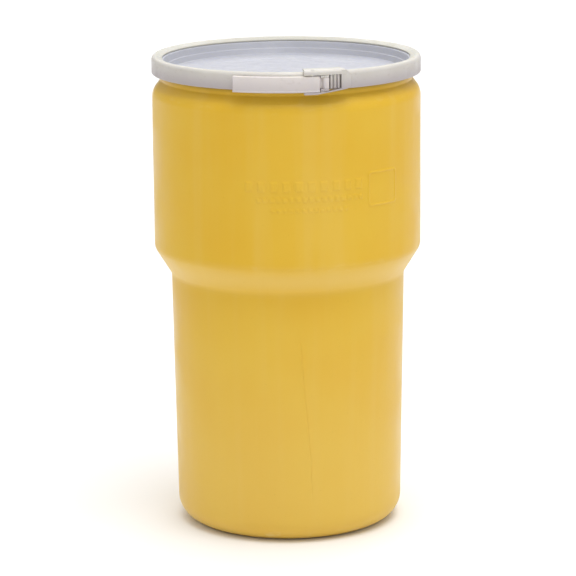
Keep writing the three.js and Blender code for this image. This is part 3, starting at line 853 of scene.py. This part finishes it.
def lid_plastic():
    """The lid, slightly bluer than the ring."""
    light, dull, grey = (0.40, 0.405, 0.45), (0.38, 0.385, 0.43), (0.315, 0.32, 0.35)
    return natural_plastic("lid_plastic", (light, dull, grey), roughness=0.46, rubbing=0.2)


def pin_plastic():
    """Both hinge pins."""
    light, dull, grey = (0.70, 0.68, 0.64), (0.66, 0.64, 0.60), (0.50, 0.47, 0.43)
    return natural_plastic("pin_plastic", (light, dull, grey), roughness=0.38)


def seal_foam():
    """The seal: closed-cell foam, fine-pored and dull."""
    finish = Finish("seal_foam", 0.88, specular=0.3)
    colour = finish.mixed(finish.clouds(90, 0.35, 0.65), (0.46, 0.46, 0.44), (0.52, 0.52, 0.50))
    cells = finish.node("ShaderNodeTexVoronoi", {"Scale": 1400}, {"Vector": finish.place})
    pores = cells.outputs["Distance"]
    colour = finish.mixed(finish.spread(pores, 0.0, 0.35, 0.4, 0.0), colour, (0.30, 0.30, 0.29))
    roughness = finish.spread(finish.clouds(50, 0.3, 0.7), 0, 1, 0.80, 0.94)
    return finish.done(colour, roughness, finish.bump(pores, 0.00025, 0.6))


# ---- assembly ----------------------------------------------------------------------------------


def fitted(piece, material, node, body):
    """Gives a piece its material, hides the CAD node it stands for and ties it to its body."""
    piece.data.materials.append(material)
    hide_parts(node)
    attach(piece, body)
    return piece


def assemble():
    """Every piece of the drum, each on its own body."""
    ring_finish = ring_plastic()
    pin_finish = pin_plastic()
    fitted(drum_shell(), yellow_polyethylene(), "drum_body", "drum")
    fitted(lid_cover(), lid_plastic(), "lid", "lid")
    fitted(lid_seal(), seal_foam(), "lid_gasket", "lid")
    fitted(clamp_band(), ring_finish, "ring_band", "ring")
    fitted(lever_handle(), lever_plastic(), "lever", "lever")
    fitted(draw_link_frame(), ring_finish, "draw_link", "link")
    fulcrum = pin("fulcrum_pin_shape", FULCRUM, FULCRUM_PIN_RADIUS, "fulcrum_pin")
    fitted(fulcrum, pin_finish, "fulcrum_pin", "ring")
    pivot = pin("link_pin_shape", LINK_PIVOT, LINK_PIN_RADIUS, "link_pin")
    fitted(pivot, pin_finish, "link_pin", "link")


# ---- studio ------------------------------------------------------------------------------------

CAMERA = {"place": (0, -4.078, 1.238), "pitch": 12.5, "roll": -0.48, "lens": 181.75}
FLOOR_SIZE = 120
SKY = {"From Min": 0.0, "From Max": 1.0, "To Min": 0.39, "To Max": 1.02}
SOFT_LIGHTS = [
    {"name": "overhead", "place": (0.5, -0.7, 3.2), "target": (0, 0, 0.3), "size": 2.2, "power": 56},
    {"name": "behind", "place": (0, 12, 7), "target": (0, 12, 0), "size": 12, "power": 800},
]


def floor():
    """A plain pale floor."""
    bm = bmesh.new()
    bmesh.ops.create_grid(bm, x_segments=1, y_segments=1, size=FLOOR_SIZE / 2)
    plane = finish_mesh(bm, "floor")
    finish = Finish("pale_floor", 0.9, specular=0.1)
    finish.shader.inputs["Base Color"].default_value = (0.93, 0.93, 0.93, 1)
    plane.data.materials.append(finish.material)


def soft_light(name, place, target, size, power):
    """A square soft box that faces a point."""
    light = bpy.data.lights.new(name, "AREA")
    light.size = size
    light.energy = power
    lamp = bpy.data.objects.new(name, light)
    lamp.location = place
    lamp.rotation_euler = (Vector(target) - Vector(place)).to_track_quat("-Z", "Y").to_euler()
    bpy.context.scene.collection.objects.link(lamp)


def surroundings():
    """White light that fades towards the horizon, a large soft box overhead and one over the floor
    behind."""
    scene = bpy.context.scene
    world = bpy.data.worlds.new("white_surroundings")
    world.use_nodes = True
    tree = world.node_tree
    background = tree.nodes["Background"]
    direction = tree.nodes.new("ShaderNodeTexCoord").outputs["Generated"]
    apart = tree.nodes.new("ShaderNodeSeparateXYZ")
    tree.links.new(direction, apart.inputs["Vector"])
    fade = tree.nodes.new("ShaderNodeMapRange")
    for name, value in SKY.items():
        fade.inputs[name].default_value = value
    tree.links.new(apart.outputs["Z"], fade.inputs["Value"])
    tree.links.new(fade.outputs["Result"], background.inputs["Strength"])
    background.inputs["Color"].default_value = (1, 1, 1, 1)
    scene.world = world
    scene.view_settings.view_transform = "Standard"
    for settings in SOFT_LIGHTS:
        soft_light(**settings)


def camera():
    """A long lens, a little above the drum and facing its latch."""
    lens = bpy.data.cameras.new("camera")
    lens.lens = CAMERA["lens"]
    lens.clip_end = 200
    eye = bpy.data.objects.new("camera", lens)
    tilt = Matrix.Rotation(math.radians(90 - CAMERA["pitch"]), 4, "X")
    roll = Matrix.Rotation(math.radians(CAMERA["roll"]), 4, "Z")
    eye.matrix_world = Matrix.Translation(CAMERA["place"]) @ tilt @ roll
    bpy.context.scene.collection.objects.link(eye)
    bpy.context.scene.camera = eye


assemble()
floor()
surroundings()
camera()
